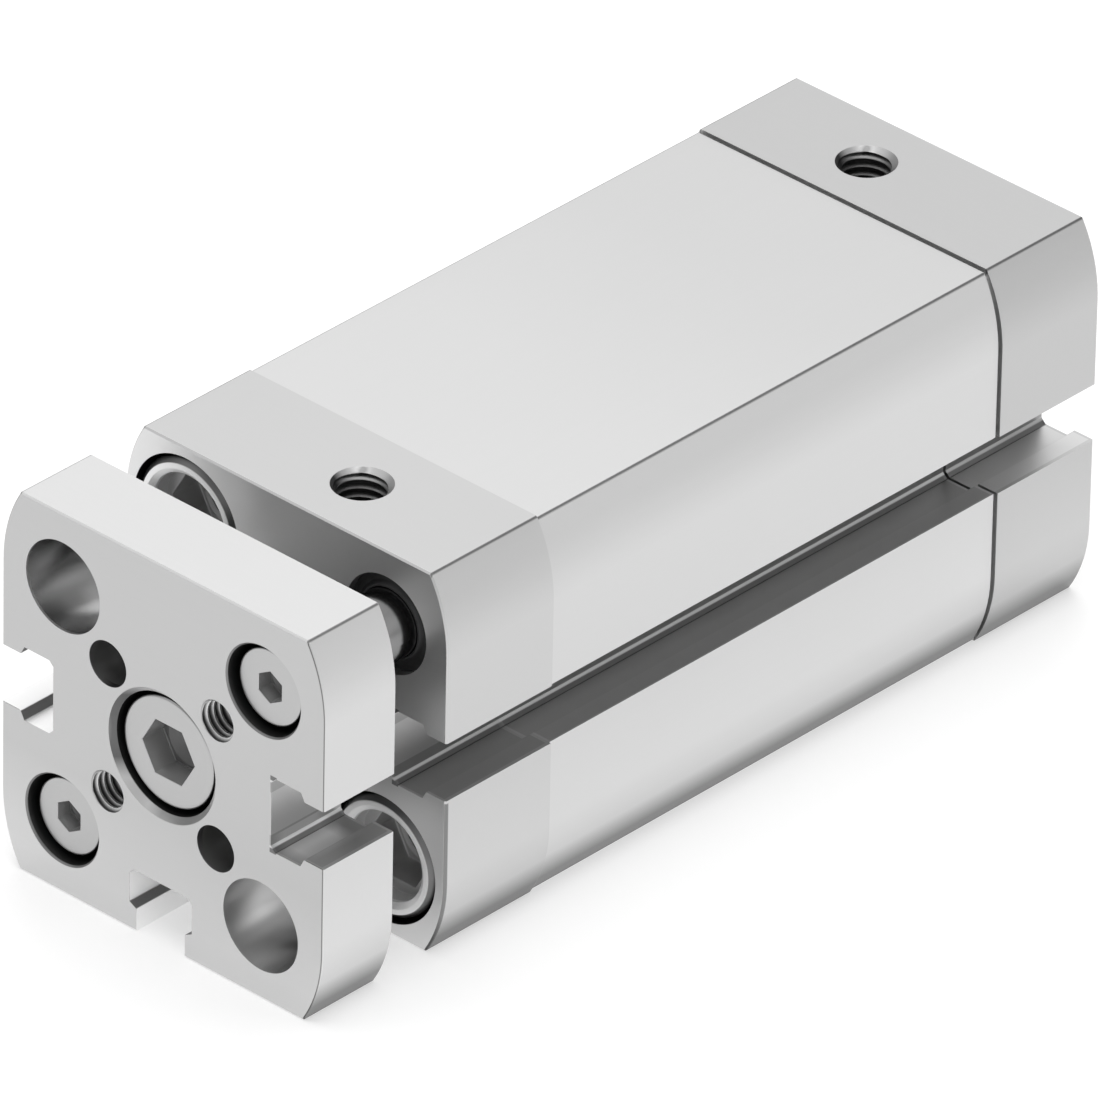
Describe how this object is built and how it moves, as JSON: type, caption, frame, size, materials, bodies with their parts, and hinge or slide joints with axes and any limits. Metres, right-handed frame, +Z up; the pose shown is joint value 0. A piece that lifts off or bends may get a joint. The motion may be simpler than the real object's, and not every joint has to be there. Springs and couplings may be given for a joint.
{
  "type": "guided pneumatic cylinder",
  "caption": "Compact square double-acting pneumatic cylinder with plain-bearing guide rods, a yoke plate, threaded supply ports and sensor slots on three sides.",
  "frame": {"origin": "on the cylinder axis, in the front face of the bearing cap", "axes": "+Y along the axis to the rear, so the yoke moves out along -Y; +Z up, where the supply ports are; +X to the right seen from the yoke"},
  "size_m": [0.0354, 0.091, 0.0354],
  "materials": {
    "anodised_barrel": "clear anodised extruded profile, fine satin",
    "anodised_cap": "clear anodised, machined satin",
    "yoke_aluminium": "clear anodised, milled satin",
    "turned_aluminium": "turned, bare",
    "polished_rod": "ground and polished high-alloy steel",
    "flange_screw_steel": "turned, bright zinc plated",
    "screw_steel": "turned heads, bright zinc plated",
    "sintered_bronze": "sintered, oil filled, dull",
    "bearing_polymer": "plain bearing polymer, dull",
    "bonded_magnet": "plastic bonded magnet, dull",
    "seal_rubber": "moulded polyurethane, semi-matt"
  },
  "bodies": {
    "cylinder": {"barrel": "anodised_barrel", "bearing_cap": "anodised_cap", "end_cap": "anodised_cap", "flange_screw_front_lower": "flange_screw_steel", "flange_screw_front_upper": "flange_screw_steel", "flange_screw_rear_lower_left": "flange_screw_steel", "flange_screw_rear_lower_right": "flange_screw_steel", "flange_screw_rear_upper_left": "flange_screw_steel", "flange_screw_rear_upper_right": "flange_screw_steel", "front_cap_seal": "seal_rubber", "guide_bush_lower": "sintered_bronze", "guide_bush_upper": "sintered_bronze", "guide_wiper_lower": "seal_rubber", "guide_wiper_upper": "seal_rubber", "rear_cap_seal": "seal_rubber", "rod_bush": "sintered_bronze", "rod_seal": "seal_rubber"},
    "slide": {"cushion_front": "seal_rubber", "cushion_rear": "seal_rubber", "guide_rod_lower": "polished_rod", "guide_rod_upper": "polished_rod", "guide_screw_lower": "screw_steel", "guide_screw_upper": "screw_steel", "magnet_ring": "bonded_magnet", "piston_front": "turned_aluminium", "piston_rear": "turned_aluminium", "piston_rod": "polished_rod", "piston_screw": "screw_steel", "piston_seal_front": "seal_rubber", "piston_seal_rear": "seal_rubber", "rod_screw": "screw_steel", "wear_ring": "bearing_polymer", "yoke_plate": "yoke_aluminium"}
  },
  "joints": [
    {"name": "stroke", "type": "slide", "parent": "cylinder", "child": "slide", "axis": [0, -1, 0], "range_m": [0, 0.04]}
  ]
}
